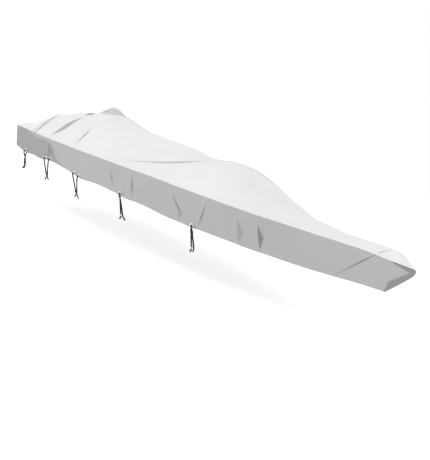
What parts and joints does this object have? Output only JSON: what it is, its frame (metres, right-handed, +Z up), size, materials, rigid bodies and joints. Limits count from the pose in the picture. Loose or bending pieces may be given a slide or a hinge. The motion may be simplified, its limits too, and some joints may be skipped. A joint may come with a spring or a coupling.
{
  "type": "fitted boat cover",
  "caption": "Fitted cloth cover for an open runabout, with a crowned top panel, side and stern skirts, a bow band and cord ties in the hem eyelets.",
  "frame": {"origin": "under the top panel on the centreline, halfway along the cover, where the boat's windscreen frame holds the cloth up", "axes": "+X to the bow, +Y to port, +Z up"},
  "size_m": [5.4828, 2.1832, 1.1901],
  "materials": {
    "pale_cloth": "coated woven polyester, matt",
    "grey_cloth": "coated woven polyester, matt",
    "dark_cloth": "heavier woven reinforcement, matt",
    "ring_metal": "pale satin metal",
    "black_cord": "braided cord, matt",
    "white_plastic": "moulded, satin"
  },
  "bodies": {
    "root": {"top_panel": "pale_cloth", "side_skirt_starboard": "grey_cloth", "side_skirt_port": "grey_cloth", "stern_skirt": "grey_cloth", "bow_band": "dark_cloth", "eyelet_s1": "ring_metal", "eyelet_s2a": "ring_metal", "eyelet_s2b": "ring_metal", "eyelet_s3a": "ring_metal", "eyelet_s3b": "ring_metal", "eyelet_s4": "ring_metal", "eyelet_s5": "ring_metal", "eyelet_p1": "ring_metal", "eyelet_p2a": "ring_metal", "eyelet_p2b": "ring_metal", "eyelet_p3a": "ring_metal", "eyelet_p3b": "ring_metal", "eyelet_p4": "ring_metal", "eyelet_p5": "ring_metal", "tie_s1": "black_cord", "tie_s2": "black_cord", "tie_s3": "black_cord", "tie_s4": "black_cord", "tie_s5": "black_cord", "tie_p1": "black_cord", "tie_p2": "black_cord", "tie_p3": "black_cord", "tie_p4": "black_cord", "tie_p5": "black_cord", "stud_s1": "white_plastic", "stud_s2": "white_plastic", "stud_s3": "white_plastic", "stud_s4": "white_plastic", "stud_s5": "white_plastic", "stud_p1": "white_plastic", "stud_p2": "white_plastic", "stud_p3": "white_plastic", "stud_p4": "white_plastic", "stud_p5": "white_plastic"}
  },
  "joints": []
}
